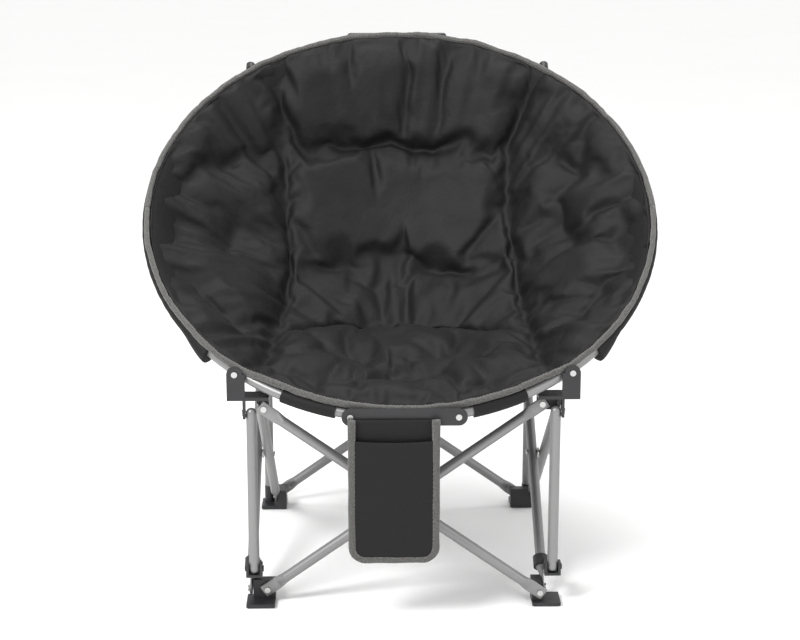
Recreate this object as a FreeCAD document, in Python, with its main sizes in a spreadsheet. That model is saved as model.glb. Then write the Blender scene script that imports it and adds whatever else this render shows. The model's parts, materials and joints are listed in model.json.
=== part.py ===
import FreeCAD, Part
import Sketcher
import math
import os

# Folding moon chair. Millimetres, Z up, floor at zero, Y runs from the front feet to the back.
os.makedirs("parts", exist_ok=True)
doc = FreeCAD.newDocument("MoonChair")
V = FreeCAD.Vector
Rot = FreeCAD.Rotation
Place = FreeCAD.Placement

# Every driving size, in one sheet.
SIZES = {
    "corner_half": 226.5,
    "column_inset": 16,
    "tube_radius": 8,
    "tube_plane_gap": 3,
    "pin_height": 22,
    "frame_rise": 298,
    "flat_half_width": 10,
    "flat_half_thick": 2.6,
    "flat_tail": 7,
    "flat_reach": 20,
    "flat_run": 14,
    "pin_radius": 2.5,
    "pin_play": 0.06,
    "head_radius": 4.6,
    "head_height": 1.8,
    "side_gap": 0.5,
    "foot_low": 16,
    "foot_high": 28,
    "foot_plate": 7,
    "foot_core_height": 36,
    "bracket_high": 24,
    "bridge_thick": 5,
    "post_offset": 3,
    "post_knee": 560,
    "post_lug_drop": 34,
    "hook_radius": 6,
    "cap_wall": 2,
    "cap_depth": 14,
    "hook_disc_radius": 7.5,
    "post_play": 0.25,
    "socket_wall": 0.6,
    "leg_drop": 8,
    "leg_foot_height": 62,
    "collar_at": 44,
    "collar_length": 18,
    "collar_wall": 4,
    "cheek_thick": 4,
    "ring_radius": 405,
    "ring_tilt": 37.3,
    "ring_y": 265,
    "ring_z": 565,
    "ring_pivot_x": 253.5,
    "connector_stand": 20,
    "front_split": 96,
    "back_split": 102,
    "connector_pin_x": 80,
    "connector_tail": 12,
    "connector_height": 26,
    "back_connector_height": 14,
    "connector_thick": 4,
    "cover_thick": 14,
    "cover_rim_radius": 399,
    "cover_rim_lift": 6,
    "cover_depth": 240,
    "cover_floor_radius": 112,
    "cover_gap": 0.4,
    "binding_radius": 6,
    "binding_inset": 5,
    "binding_gap": 0.3,
    "sleeve_wall": 2.6,
    "sleeve_start": 14.5,
    "sleeve_sweep": 12,
    "pocket_width": 136,
    "pocket_height": 222,
    "pocket_ply": 3,
    "pocket_room": 4.6,
    "pocket_tape": 12,
    "pocket_mouth": 30,
    "pocket_corner": 26,
    "pocket_shift": -16,
    "pocket_top": 322,
}
sheet = doc.addObject("Spreadsheet::Sheet", "Sizes")
for row, (alias, value) in enumerate(SIZES.items(), start=1):
    sheet.set("A%d" % row, alias)
    sheet.set("B%d" % row, str(value))
    sheet.setAlias("B%d" % row, alias)
doc.recompute()


def size(alias):
    return float(sheet.get(alias))


r_tube = size("tube_radius")
half = size("corner_half")
inset = size("column_inset")
depth = 2 * half
off = r_tube + size("tube_plane_gap") / 2
pin_z = size("pin_height")
rise = size("frame_rise")
top_z = pin_z + rise
span = 2 * (half - inset)
length = math.hypot(span, rise)
angle = math.degrees(math.atan2(rise, span))
flat_t = size("flat_half_thick")
gap = size("side_gap")
tilt = math.radians(size("ring_tilt"))
ring_r = size("ring_radius")
ring_c = V(0, size("ring_y"), size("ring_z"))
ring_d = V(0, -math.cos(tilt), -math.sin(tilt))
ring_n = V(0, -math.sin(tilt), math.cos(tilt))
parts = []


def keep(obj, label):
    """Marks a document object as a finished sub-part."""
    obj.Label = label
    parts.append(obj)
    return obj


def box(x0, x1, y0, y1, z0, z1):
    b = doc.addObject("Part::Box", "Block")
    b.Length = x1 - x0
    b.Width = y1 - y0
    b.Height = z1 - z0
    b.Placement = Place(V(x0, y0, z0), Rot())
    return b


def rod(start, direction, length_mm, radius=None, alias=None):
    c = doc.addObject("Part::Cylinder", "Rod")
    if alias:
        c.setExpression("Radius", alias)
    else:
        c.Radius = radius
    c.Height = length_mm
    c.Placement = Place(start, Rot(V(0, 0, 1), direction))
    return c


def ball(centre, alias):
    s = doc.addObject("Part::Sphere", "Ball")
    s.setExpression("Radius", alias)
    s.Placement = Place(centre, Rot())
    return s


def fuse(shapes, name="Joined"):
    f = doc.addObject("Part::MultiFuse", name)
    f.Shapes = shapes
    f.Refine = True
    return f


def cut(base, tool, name="Cut"):
    c = doc.addObject("Part::Cut", name)
    c.Base = base
    c.Tool = tool
    c.Refine = True
    return c


def group(shapes, label):
    g = doc.addObject("Part::Compound", "Group")
    g.Links = shapes
    return keep(g, label)


def rivet(head_point, direction, shank, both=False):
    """A pressed rivet: a domed head at head_point and a shank that runs along direction."""
    dirn = V(direction).normalize()
    height = size("head_height")
    solids = [rod(head_point, dirn, shank, alias="Sizes.pin_radius")]
    solids.append(rod(head_point - dirn * height, dirn, height, alias="Sizes.head_radius"))
    if both:
        solids.append(rod(head_point + dirn * shank, dirn, height, alias="Sizes.head_radius"))
    return fuse(solids, "Rivet")


def flat_tube(label, foot, direction, hinge):
    """A brace tube pressed flat at both ends, drilled at each end and at its crossing."""
    body = doc.addObject("PartDesign::Body", label)
    plane = [f for f in body.Origin.OriginFeatures if f.Role == "XY_Plane"][0]
    side = [f for f in body.Origin.OriginFeatures if f.Role == "YZ_Plane"][0]
    reach = "Sizes.flat_reach"
    run = "Sizes.flat_run"

    def section(name, place, flat):
        sk = body.newObject("Sketcher::SketchObject", name)
        sk.AttachmentSupport = (plane, [""])
        sk.MapMode = "FlatFace"
        sk.setExpression("AttachmentOffset.Base.z", place)
        if flat:
            wide = size("flat_half_width")
            sk.addGeometry(Part.Ellipse(V(0, wide, 0), V(flat_t, 0, 0), V(0, 0, 0)))
        else:
            sk.addGeometry(Part.Circle(V(0, 0, 0), V(0, 0, 1), r_tube))
            k = sk.addConstraint(Sketcher.Constraint("Radius", 0, r_tube))
            sk.setExpression("Constraints[%d]" % k, "Sizes.tube_radius")
        return sk

    def pad(profile, amount):
        p = body.newObject("PartDesign::Pad", "Length")
        p.Profile = profile
        p.setExpression("Length", amount)
        return p

    def press(profile, other):
        p = body.newObject("PartDesign::AdditiveLoft", "Press")
        p.Profile = profile
        p.Sections = [other]
        return p

    full = "%.6f" % length
    low_round = section("LowRound", "%s + %s" % (reach, run), False)
    pad(low_round, "%s - 2 * (%s + %s)" % (full, reach, run))
    low_circle = section("LowCircle", "%s + %s" % (reach, run), False)
    low_flat = section("LowFlat", reach, True)
    press(low_circle, low_flat)
    low_end = section("LowEnd", "0 - Sizes.flat_tail", True)
    pad(low_end, "Sizes.flat_tail + %s" % reach)
    top_circle = section("TopCircle", "%s - %s - %s" % (full, reach, run), False)
    top_flat = section("TopFlat", "%s - %s" % (full, reach), True)
    press(top_circle, top_flat)
    top_end = section("TopEnd", "%s - %s" % (full, reach), True)
    pad(top_end, "Sizes.flat_tail + %s" % reach)
    holes = body.newObject("Sketcher::SketchObject", "Holes")
    holes.AttachmentSupport = (side, [""])
    holes.MapMode = "FlatFace"
    for at in (0, length / 2, length):
        bore = size("pin_radius") + size("pin_play")
        holes.addGeometry(Part.Circle(V(0, at, 0), V(0, 0, 1), bore))
    drilled = body.newObject("PartDesign::Pocket", "Drilled")
    drilled.Profile = holes
    drilled.Type = "ThroughAll"
    drilled.Midplane = True
    body.Tip = drilled
    along = V(direction).normalize()
    across = V(hinge).normalize()
    body.Placement = Place(foot, Rot(across, along.cross(across), along, "ZXY"))
    return keep(body, label)


def corner(xs, ys):
    """Where a corner stands, with the inward directions of its two planes."""
    base = V(-half if xs < 0 else half, 0 if ys < 0 else depth, 0)
    return base, -xs, -ys


def inward_box(base, du, dv, u0, u1, v0, v1, z0, z1):
    xa = base.x + du * u0
    xb = base.x + du * u1
    ya = base.y + dv * v0
    yb = base.y + dv * v1
    return box(min(xa, xb), max(xa, xb), min(ya, yb), max(ya, yb), z0, z1)


inner_face = off + flat_t + gap
outer_face = -off + flat_t + gap
shank_out = 2 * flat_t + 2 * gap


def pin_pair(base, du, dv, u_face, v_face, z):
    """The two rivets of a corner: one along X for the side brace, one along Y for the cross brace."""
    grip = size("head_height") * 3
    sx = rivet(V(base.x + du * (u_face - shank_out), base.y + dv * inset, z), V(du, 0, 0), shank_out + grip)
    sy = rivet(V(base.x + du * inset, base.y + dv * (v_face - shank_out), z), V(0, dv, 0), shank_out + grip)
    return sx, sy


def drill(base, du, dv, u_face, v_face, z, solid):
    grip = size("head_height") * 3
    a = rod(V(base.x + du * u_face, base.y + dv * inset, z), V(du, 0, 0), grip, alias="Sizes.pin_radius")
    b = rod(V(base.x + du * inset, base.y + dv * v_face, z), V(0, dv, 0), grip, alias="Sizes.pin_radius")
    return cut(solid, fuse([a, b], "Pins"))


CORNERS = {
    "front_left": (-1, -1, outer_face, inner_face),
    "front_right": (1, -1, inner_face, outer_face),
    "rear_left": (-1, 1, inner_face, outer_face),
    "rear_right": (1, 1, outer_face, inner_face),
}
low = -size("foot_low")
high = size("foot_high")
plate = size("foot_plate")
post = -size("post_offset")
for name, (xs, ys, u_face, v_face) in CORNERS.items():
    base, du, dv = corner(xs, ys)
    slab = inward_box(base, du, dv, low, high, low, high, 0, plate)
    slab_edges = doc.addObject("Part::Chamfer", "SlabEdges")
    doc.recompute()
    slab_edges.Base = slab
    down = [i + 1 for i, e in enumerate(slab.Shape.Edges) if e.BoundBox.ZMax < 0.01]
    slab_edges.Edges = [(i, 2.5, 2.5) for i in down]
    core = inward_box(base, du, dv, u_face, high, v_face, high, plate, size("foot_core_height"))
    solids = [slab_edges, core]
    if ys > 0:
        socket = V(base.x + du * post, base.y + dv * post, plate)
        outer_r = r_tube + size("socket_wall")
        solids.append(rod(socket, V(0, 0, 1), size("foot_core_height") - plate, outer_r))
    foot = fuse(solids, "Foot")
    foot = drill(base, du, dv, u_face, v_face, pin_z, foot)
    if ys > 0:
        foot = cut(foot, rod(socket, V(0, 0, 1), rise, alias="Sizes.tube_radius"))
    keep(foot, name + "_foot")
    group(list(pin_pair(base, du, dv, u_face, v_face, pin_z)), name + "_foot_rivets")

# The four crossed pairs. The same pair is turned a quarter each time, like a pinwheel.
near = half - inset
TUBES = [
    ("front_brace_outer", V(near, -off, pin_z), V(-span, 0, rise), V(0, 1, 0)),
    ("front_brace_inner", V(-near, off, pin_z), V(span, 0, rise), V(0, 1, 0)),
    ("rear_brace_outer", V(-near, depth + off, pin_z), V(span, 0, rise), V(0, 1, 0)),
    ("rear_brace_inner", V(near, depth - off, pin_z), V(-span, 0, rise), V(0, 1, 0)),
    ("left_brace_outer", V(-half - off, inset, pin_z), V(0, span, rise), V(1, 0, 0)),
    ("left_brace_inner", V(-half + off, depth - inset, pin_z), V(0, -span, rise), V(1, 0, 0)),
    ("right_brace_outer", V(half + off, depth - inset, pin_z), V(0, -span, rise), V(1, 0, 0)),
    ("right_brace_inner", V(half - off, inset, pin_z), V(0, span, rise), V(1, 0, 0)),
]
for label, foot, direction, hinge in TUBES:
    flat_tube(label, foot, direction, hinge)

mid_z = pin_z + rise / 2
wide = off + r_tube + gap
CROSSINGS = {
    "front": (V(0, 0, mid_z), V(0, 1, 0)),
    "rear": (V(0, depth, mid_z), V(0, 1, 0)),
    "left": (V(-half, depth / 2, mid_z), V(1, 0, 0)),
    "right": (V(half, depth / 2, mid_z), V(1, 0, 0)),
}
for name, (centre, way) in CROSSINGS.items():
    pin = rivet(centre - way * wide, way, 2 * wide, both=True)
    thick = size("tube_plane_gap") - 2 * gap
    washer = rod(centre - way * (thick / 2), way, thick, alias="Sizes.tube_radius")
    hole = rod(centre - way * thick, way, 2 * thick, alias="Sizes.pin_radius")
    group([pin, cut(washer, hole)], name + "_cross_rivet")


def ring_point(phi, side):
    a = math.radians(phi)
    return ring_c + V(side * ring_r * math.sin(a), 0, 0) + ring_d * (ring_r * math.cos(a))


phi_pivot = math.degrees(math.asin(size("ring_pivot_x") / ring_r))
leg_pin = top_z - size("leg_drop")
bridge_low = top_z + math.hypot(size("flat_tail"), size("flat_half_width")) + gap
bridge_top = bridge_low + size("bridge_thick")
cheek = size("cheek_thick")
leg_side = r_tube + gap
stand = size("connector_stand")
web_r = size("head_radius") * 2.6


def clear_of_tube(cosine, reach):
    """How far along a pin that crosses a tube aslant a face of this reach stands clear of the tube."""
    sine = math.sqrt(1 - cosine * cosine)
    return (r_tube + reach * cosine) / sine + gap


# The ring tube crosses its four pivots aslant, so each face and head is set off by the slant.
slant_front = size("ring_pivot_x") / ring_r * math.cos(tilt)
slant_back = size("ring_pivot_x") / ring_r
web_reach = max(web_r, (size("ring_pivot_x") - half - size("post_offset") - leg_side) * 1.2)
front_stand = clear_of_tube(slant_front, web_reach) + cheek
front_far = clear_of_tube(slant_front, size("head_radius"))
disc_front = size("hook_radius")
back_stand = clear_of_tube(slant_back, size("hook_disc_radius")) + disc_front
back_far = clear_of_tube(slant_back, size("head_radius"))
for name, xs in (("left", -1), ("right", 1)):
    base, du, dv = corner(xs, -1)
    u_face, v_face = (inner_face, outer_face) if xs < 0 else (outer_face, inner_face)
    edge = size("bracket_high")
    leg_x = base.x + du * post
    leg_y = dv * post
    pivot = ring_point(phi_pivot, xs)
    core = inward_box(base, du, dv, u_face, edge, v_face, edge, top_z - size("pin_radius") * 4, bridge_top)
    bridge = inward_box(base, du, dv, post - leg_side - cheek, edge, post - r_tube, edge, bridge_low, bridge_top)
    face = inward_box(base, du, dv, post - leg_side - cheek, post - leg_side, post - r_tube, post + r_tube,
                      leg_pin - r_tube, bridge_top)
    web_y = pivot.y - front_stand
    boss = rod(V(pivot.x, web_y, pivot.z), V(0, 1, 0), cheek, web_r)
    reach_u = (base.x - pivot.x) * du
    web = inward_box(base, du, dv, -abs(reach_u) - web_r, post - leg_side, web_y, web_y + cheek,
                     bridge_low, pivot.z)
    bracket = fuse([core, bridge, face, web, boss], "Bracket")
    bracket = drill(base, du, dv, u_face, v_face, top_z, bracket)
    outside = post - leg_side - cheek
    leg_rivet_at = V(base.x + du * outside, leg_y, leg_pin)
    holes = [rod(leg_rivet_at, V(du, 0, 0), cheek, alias="Sizes.pin_radius")]
    holes.append(rod(V(pivot.x, web_y, pivot.z), V(0, 1, 0), cheek, alias="Sizes.pin_radius"))
    bracket = cut(bracket, fuse(holes, "Pins"))
    keep(bracket, name + "_bracket")
    leg_through = cheek + leg_side + r_tube - gap
    pins = list(pin_pair(base, du, dv, u_face, v_face, top_z))
    pins.append(rivet(leg_rivet_at, V(du, 0, 0), leg_through))
    pins.append(rivet(V(pivot.x, web_y, pivot.z), V(0, 1, 0), front_stand + front_far, both=True))
    group(pins, name + "_bracket_rivets")

    # The front leg hangs on its bracket and its ball end sits in the cup of the collar.
    foot_z = size("leg_foot_height")
    tube = rod(V(leg_x, leg_y, foot_z), V(0, 0, 1), leg_pin - foot_z, alias="Sizes.tube_radius")
    leg = fuse([tube, ball(V(leg_x, leg_y, foot_z), "Sizes.tube_radius"),
                ball(V(leg_x, leg_y, leg_pin), "Sizes.tube_radius")], "Leg")
    bore = rod(V(leg_x - r_tube * 2, leg_y, leg_pin), V(1, 0, 0), r_tube * 4,
               size("pin_radius") + size("pin_play"))
    keep(cut(leg, bore), name + "_leg")

    # The collar is pressed on the side brace that starts at the front foot.
    brace_x = base.x - off
    a = math.radians(angle)
    along = V(0, math.cos(a), math.sin(a))
    ring_at = V(brace_x, inset, pin_z) + along * size("collar_at")
    wall = size("collar_wall")
    long = size("collar_length")
    band = rod(ring_at - along * (long / 2), along, long, r_tube + wall)
    fork_in = r_tube + gap
    fork_out = fork_in + cheek
    low_z = foot_z - r_tube - gap - cheek
    back_y = ring_at.y - r_tube
    left_prong = box(leg_x - fork_out, leg_x - fork_in, leg_y - r_tube, leg_y + r_tube, low_z, foot_z + r_tube)
    right_prong = box(leg_x + fork_in, leg_x + fork_out, leg_y - r_tube, leg_y + r_tube, low_z, foot_z + r_tube)
    seat = box(leg_x - fork_out, leg_x + fork_out, leg_y - r_tube, leg_y + r_tube, low_z, low_z + cheek)
    sides = sorted((leg_x - du * fork_out, leg_x + du * (fork_out - cheek)))
    arm = box(sides[0], sides[1], leg_y, back_y, low_z, low_z + cheek * 2)
    groove = rod(V(leg_x - fork_in, leg_y, foot_z), V(1, 0, 0), 2 * fork_in, r_tube + gap)
    collar = fuse([band, left_prong, right_prong, cut(fuse([seat, arm]), groove)], "Collar")
    passage = rod(ring_at - along * length, along, 2 * length, alias="Sizes.tube_radius")
    stubs = []
    for sx in (-1, 1):
        stubs.append(rod(V(leg_x + sx * fork_out, leg_y, foot_z), V(sx, 0, 0), size("head_height"),
                         alias="Sizes.head_radius"))
    keep(fuse([cut(collar, passage)] + stubs, "Collar"), name + "_collar")

    # The rear post stands in its foot, turns back at a knee and carries the ring's back arc.
    base, du, dv = corner(xs, 1)
    u_face, v_face = (outer_face, inner_face) if xs < 0 else (inner_face, outer_face)
    post_x = base.x + du * post
    post_y = base.y + dv * post
    hold = ring_point(180 - phi_pivot, xs)
    top = hold - ring_d * back_stand
    lug = V(post_x, top.y, top.z) - ring_n * size("post_lug_drop")
    knee = V(post_x, post_y, size("post_knee"))
    lower = rod(V(post_x, post_y, plate), V(0, 0, 1), size("post_knee") - plate, alias="Sizes.tube_radius")
    slant = lug - knee
    upper = rod(knee, slant, slant.Length, alias="Sizes.tube_radius")
    keep(fuse([lower, upper, ball(knee, "Sizes.tube_radius")], "Post"), "rear_%s_post" % name)

    # A moulded end fitting on the post holds the pin of the back arc.
    up = V(slant).normalize()
    hook_r = size("hook_radius")
    deep = size("cap_depth")
    root = lug + up * (hook_r + gap)
    reach = top - root
    cap = rod(lug - up * deep, up, deep + 2 * hook_r, r_tube + size("cap_wall"))
    cup = cut(cap, rod(lug - up * deep, up, deep, alias="Sizes.tube_radius"))
    hook = rod(root, reach, reach.Length, alias="Sizes.hook_radius")
    disc = rod(top - ring_d * disc_front, ring_d, 2 * disc_front, alias="Sizes.hook_disc_radius")
    pin = rivet(top, ring_d, back_stand + back_far, both=True)
    keep(fuse([cup, hook, disc, pin], "Pivot"), "rear_%s_pivot" % name)

    # The slider at the rear joins both braces and runs up the post as the frame closes.
    core = inward_box(base, du, dv, u_face, edge, v_face, edge, top_z - size("pin_radius") * 4, bridge_top)
    reach_low = post - r_tube - cheek
    bridge = inward_box(base, du, dv, reach_low, edge, reach_low, edge, bridge_low, bridge_top)
    slider = drill(base, du, dv, u_face, v_face, top_z, fuse([core, bridge], "Slider"))
    run = rod(V(post_x, post_y, 0), V(0, 0, 1), size("post_knee"), r_tube + size("post_play"))
    keep(cut(slider, run), "rear_%s_slider" % name)
    group(list(pin_pair(base, du, dv, u_face, v_face, top_z)), "rear_%s_slider_rivets" % name)


def ring_place(start_phi, side, lift=0.0):
    """Turns a shape made about Z, starting on +X, into the ring plane from start_phi towards the back."""
    a = math.radians(start_phi)
    first = V(side * math.sin(a), 0, 0) + ring_d * math.cos(a)
    normal = ring_n if side > 0 else ring_n * -1
    second = normal.cross(first)
    turned = Rot(first, second, normal, "ZXY")
    return Place(ring_c + ring_n * lift, turned)


def arc(start_phi, sweep, side, radius, lift=0.0, major=None):
    t = doc.addObject("Part::Torus", "Arc")
    t.Radius1 = major or ring_r
    t.Radius2 = radius
    t.Angle3 = sweep
    t.Placement = ring_place(start_phi, side, lift)
    return t


pin_phi = math.degrees(math.asin(size("connector_pin_x") / ring_r))
tail_phi = math.degrees(size("connector_tail") / ring_r)
bore_r = size("pin_radius") + size("pin_play")
for name, xs in (("left", -1), ("right", 1)):
    for which, pivot_phi, end_phi, way in (
        ("front", phi_pivot, pin_phi, V(0, 1, 0)),
        ("back", 180 - phi_pivot, 180 - pin_phi, ring_d),
    ):
        if which == "front":
            first = pin_phi - tail_phi
            sweep = size("front_split") - first
        else:
            first = size("back_split")
            sweep = 180 - pin_phi + tail_phi - first
        rail = arc(first, sweep, xs, r_tube)
        bores = []
        for phi in (pivot_phi, end_phi):
            bores.append(rod(ring_point(phi, xs) - way * stand, way, 2 * stand, bore_r))
        keep(cut(rail, fuse(bores, "Bores")), "%s_%s_arc" % (which, name))

# The connectors bridge the two arcs at the front and at the back of the ring.
for which, phi_end, way in (("front", pin_phi, V(0, -1, 0)), ("back", 180 - pin_phi, ring_d * -1)):
    left_pin = ring_point(phi_end, -1)
    right_pin = ring_point(phi_end, 1)
    tall = size("connector_height" if which == "front" else "back_connector_height")
    thick = size("connector_thick")
    slant = size("connector_pin_x") / ring_r * (math.cos(tilt) if which == "front" else 1)
    far = clear_of_tube(slant, size("head_radius"))
    centre = (left_pin + right_pin) / 2 + way * (stand - thick)
    up = V(1, 0, 0).cross(way) * (-1 if which == "front" else 1)
    turn = Rot(V(1, 0, 0), up, V(1, 0, 0).cross(up), "ZXY")
    wide_half = size("connector_pin_x") + size("connector_tail")
    strip = doc.addObject("Part::Box", "Strip")
    strip.Length = 2 * size("connector_pin_x")
    strip.Width = tall
    strip.setExpression("Height", "Sizes.connector_thick")
    sign = 1 if V(1, 0, 0).cross(up).dot(way) > 0 else -1
    shift = V(-size("connector_pin_x"), -tall / 2, 0 if sign > 0 else -thick)
    strip.Placement = Place(centre, turn).multiply(Place(shift, Rot()))
    ends = []
    for pin in (left_pin, right_pin):
        ends.append(rod(pin + way * (stand - thick), way, thick, tall / 2))
    holes = [rod(p + way * (stand - thick), way, thick, alias="Sizes.pin_radius") for p in (left_pin, right_pin)]
    keep(cut(fuse([strip] + ends, "Connector"), fuse(holes, "Pins")), which + "_connector")
    long_pin = rivet(left_pin + way * stand, way * -1, stand + far, both=True)
    stub = rivet(right_pin + way * stand, way * -1, thick)
    group([long_pin, stub], which + "_connector_rivets")

# The padded cover is sewn from four panels; each one belongs to the arc that carries its rim.
lift = size("cover_rim_lift")
rim_r = size("cover_rim_radius")
floor_r = size("cover_floor_radius")
deep = size("cover_depth")
thick = size("cover_thick")
tall = deep + lift
slope = math.atan2(rim_r - floor_r, tall)
back_pin_far = clear_of_tube(size("connector_pin_x") / ring_r, size("head_radius"))
inside = thick / math.cos(slope)


def cone(low_r, top_r, height, place):
    c = doc.addObject("Part::Cone", "Cone")
    c.Radius1 = low_r
    c.Radius2 = top_r
    c.Height = height
    c.Angle = 90
    c.Placement = place
    return c


for name, xs in (("left", -1), ("right", 1)):
    for which, phi in (("front", 0), ("back", 90)):
        turned = ring_place(phi, xs)
        push = size("cover_gap") / 2
        middle = math.radians(phi + 45)
        away = V(xs * math.sin(middle), 0, 0) + ring_d * math.cos(middle)
        nudge = away * (push * math.sqrt(2))
        low_at = ring_c - ring_n * deep + nudge
        top_at = ring_c + ring_n * lift + nudge
        if xs > 0:
            outer = cone(floor_r, rim_r, tall, Place(low_at, turned.Rotation))
            grow = (rim_r - floor_r) / tall * thick
            inner = cone(floor_r - inside + grow, rim_r - inside + grow, tall,
                         Place(low_at + ring_n * thick, turned.Rotation))
        else:
            outer = cone(rim_r, floor_r, tall, Place(top_at, turned.Rotation))
            grow = (rim_r - floor_r) / tall * thick
            inner = cone(rim_r - inside + grow, floor_r - inside + grow, tall,
                         Place(top_at + ring_n * thick, turned.Rotation))
        shell = cut(outer, inner, "Panel")
        if which == "back":
            # Eyelets let the pins of the back arc through the rim of the cover.
            for hole_phi, far in ((180 - phi_pivot, back_far), (180 - pin_phi, back_pin_far)):
                long = far + size("head_height") + 2 * gap
                eyelet = rod(ring_point(hole_phi, xs), ring_d, long, size("head_radius") + 2 * gap)
                shell = cut(shell, eyelet, "Panel")
        else:
            # The rim is hollowed where the sleeve round the tube lies against it.
            sleeve_r = r_tube + gap + size("sleeve_wall") + size("binding_gap")
            hollow = arc(size("sleeve_start") - 1, size("sleeve_sweep") + 2, xs, sleeve_r)
            shell = cut(shell, hollow, "Panel")
        keep(shell, "%s_%s_panel" % (which, name))
        b_sweep = 90 - math.degrees(size("cover_gap") / ring_r)
        binding = arc(phi + math.degrees(size("cover_gap") / ring_r) / 2, b_sweep, xs,
                      size("binding_radius"), lift + size("binding_radius") + size("binding_gap"),
                      rim_r - size("binding_inset"))
        if which == "front":
            hollow = arc(size("sleeve_start") - 1, size("sleeve_sweep") + 2, xs, sleeve_r)
            binding = cut(binding, hollow, "Binding")
        keep(binding, "%s_%s_binding" % (which, name))
    outer = arc(size("sleeve_start"), size("sleeve_sweep"), xs, r_tube + gap + size("sleeve_wall"))
    inner = arc(size("sleeve_start") - 1, size("sleeve_sweep") + 2, xs, r_tube + gap)
    keep(cut(outer, inner, "Sleeve"), "front_%s_sleeve" % name)

# The pocket hangs in front of the connector, a little to one side: two plies with a tape between.
front_y = ring_point(pin_phi, -1).y - stand - size("head_height") - gap


def pocket_ply(label, drop, amount, at_y, window):
    """One flat layer of the pocket. A window leaves only the tape round its sides and bottom."""
    body = doc.addObject("PartDesign::Body", label)
    plane = [f for f in body.Origin.OriginFeatures if f.Role == "XZ_Plane"][0]

    def outline(name, w, high, low, c):
        sk = body.newObject("Sketcher::SketchObject", name)
        sk.AttachmentSupport = (plane, [""])
        sk.MapMode = "FlatFace"
        sk.addGeometry(Part.LineSegment(V(-w, high, 0), V(w, high, 0)))
        sk.addGeometry(Part.LineSegment(V(w, high, 0), V(w, low + c, 0)))
        right = Part.Circle(V(w - c, low + c, 0), V(0, 0, 1), c)
        sk.addGeometry(Part.ArcOfCircle(right, -math.pi / 2, 0))
        sk.addGeometry(Part.LineSegment(V(w - c, low, 0), V(c - w, low, 0)))
        left = Part.Circle(V(c - w, low + c, 0), V(0, 0, 1), c)
        sk.addGeometry(Part.ArcOfCircle(left, math.pi, 1.5 * math.pi))
        sk.addGeometry(Part.LineSegment(V(-w, low + c, 0), V(-w, high, 0)))
        return sk

    w = size("pocket_width") / 2
    h = size("pocket_height")
    c = size("pocket_corner")
    tape = size("pocket_tape")
    ply = body.newObject("PartDesign::Pad", "Ply")
    ply.Profile = outline("Outline", w, -drop, -h, c)
    ply.setExpression("Length", amount)
    body.Tip = ply
    if window:
        room = body.newObject("PartDesign::Pocket", "Room")
        room.Profile = outline("Window", w - tape, tape, tape - h, c - tape)
        room.Type = "ThroughAll"
        room.Midplane = True
        body.Tip = room
    body.Placement = Place(V(size("pocket_shift"), at_y, size("pocket_top")), Rot())
    return keep(body, label)


mouth = size("pocket_mouth")
ply = size("pocket_ply")
room = size("pocket_room")
pocket_ply("pocket_back", 0, "Sizes.pocket_ply", front_y, False)
pocket_ply("pocket_tape", mouth, "Sizes.pocket_room", front_y - ply, True)
pocket_ply("pocket_front", mouth, "Sizes.pocket_ply", front_y - ply - room, False)

doc.recompute()
problems = []
for obj in doc.Objects:
    if "Invalid" in obj.State or "Error" in obj.State:
        problems.append("%s %s" % (obj.Label, obj.State))
for obj in parts:
    shape = obj.Shape
    if shape.isNull() or not shape.isValid() or not shape.Solids or shape.Volume < 1:
        problems.append("bad shape " + obj.Label)
if problems:
    raise RuntimeError("; ".join(problems))

# The origin is put on the floor under the middle of the whole chair.
boxes = [obj.Shape.optimalBoundingBox(True, False) for obj in parts]
front = min(b.YMin for b in boxes)
back = max(b.YMax for b in boxes)
shift = V(0, -(front + back) / 2, 0)
print("shift_y %.4f" % shift.y)
for obj in parts:
    obj.Placement = Place(obj.Placement.Base + shift, obj.Placement.Rotation)
for obj in parts:
    obj.Shape.exportStep("parts/%s.step" % obj.Label)
    b = obj.Shape.BoundBox
    print("%-28s %d %9.0f  x %.1f %.1f y %.1f %.1f z %.1f %.1f" % (
        obj.Label, len(obj.Shape.Solids), obj.Shape.Volume, b.XMin, b.XMax, b.YMin, b.YMax, b.ZMin, b.ZMax))
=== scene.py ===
import json
import math

import bmesh
import bpy
import numpy as np
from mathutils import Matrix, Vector, noise


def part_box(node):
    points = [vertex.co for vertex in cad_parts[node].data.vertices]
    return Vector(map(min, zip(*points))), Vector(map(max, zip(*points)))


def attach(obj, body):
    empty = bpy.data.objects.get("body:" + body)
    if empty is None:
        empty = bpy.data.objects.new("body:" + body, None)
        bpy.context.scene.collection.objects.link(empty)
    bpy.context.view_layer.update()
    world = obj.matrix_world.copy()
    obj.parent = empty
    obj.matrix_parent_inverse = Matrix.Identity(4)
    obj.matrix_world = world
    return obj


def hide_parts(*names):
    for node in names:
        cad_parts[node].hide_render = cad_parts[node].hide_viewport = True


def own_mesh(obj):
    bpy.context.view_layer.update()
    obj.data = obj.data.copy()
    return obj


bl_info = {
    "name": "Folding bucket chair dresser",
    "version": (1, 0, 0),
    "blender": (4, 5, 0),
    "location": "View3D > Sidebar > Chair",
    "description": "Dresses the folding bucket chair in padded cloth, tape, coated tube and moulded plastic",
    "category": "Object",
}

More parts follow.
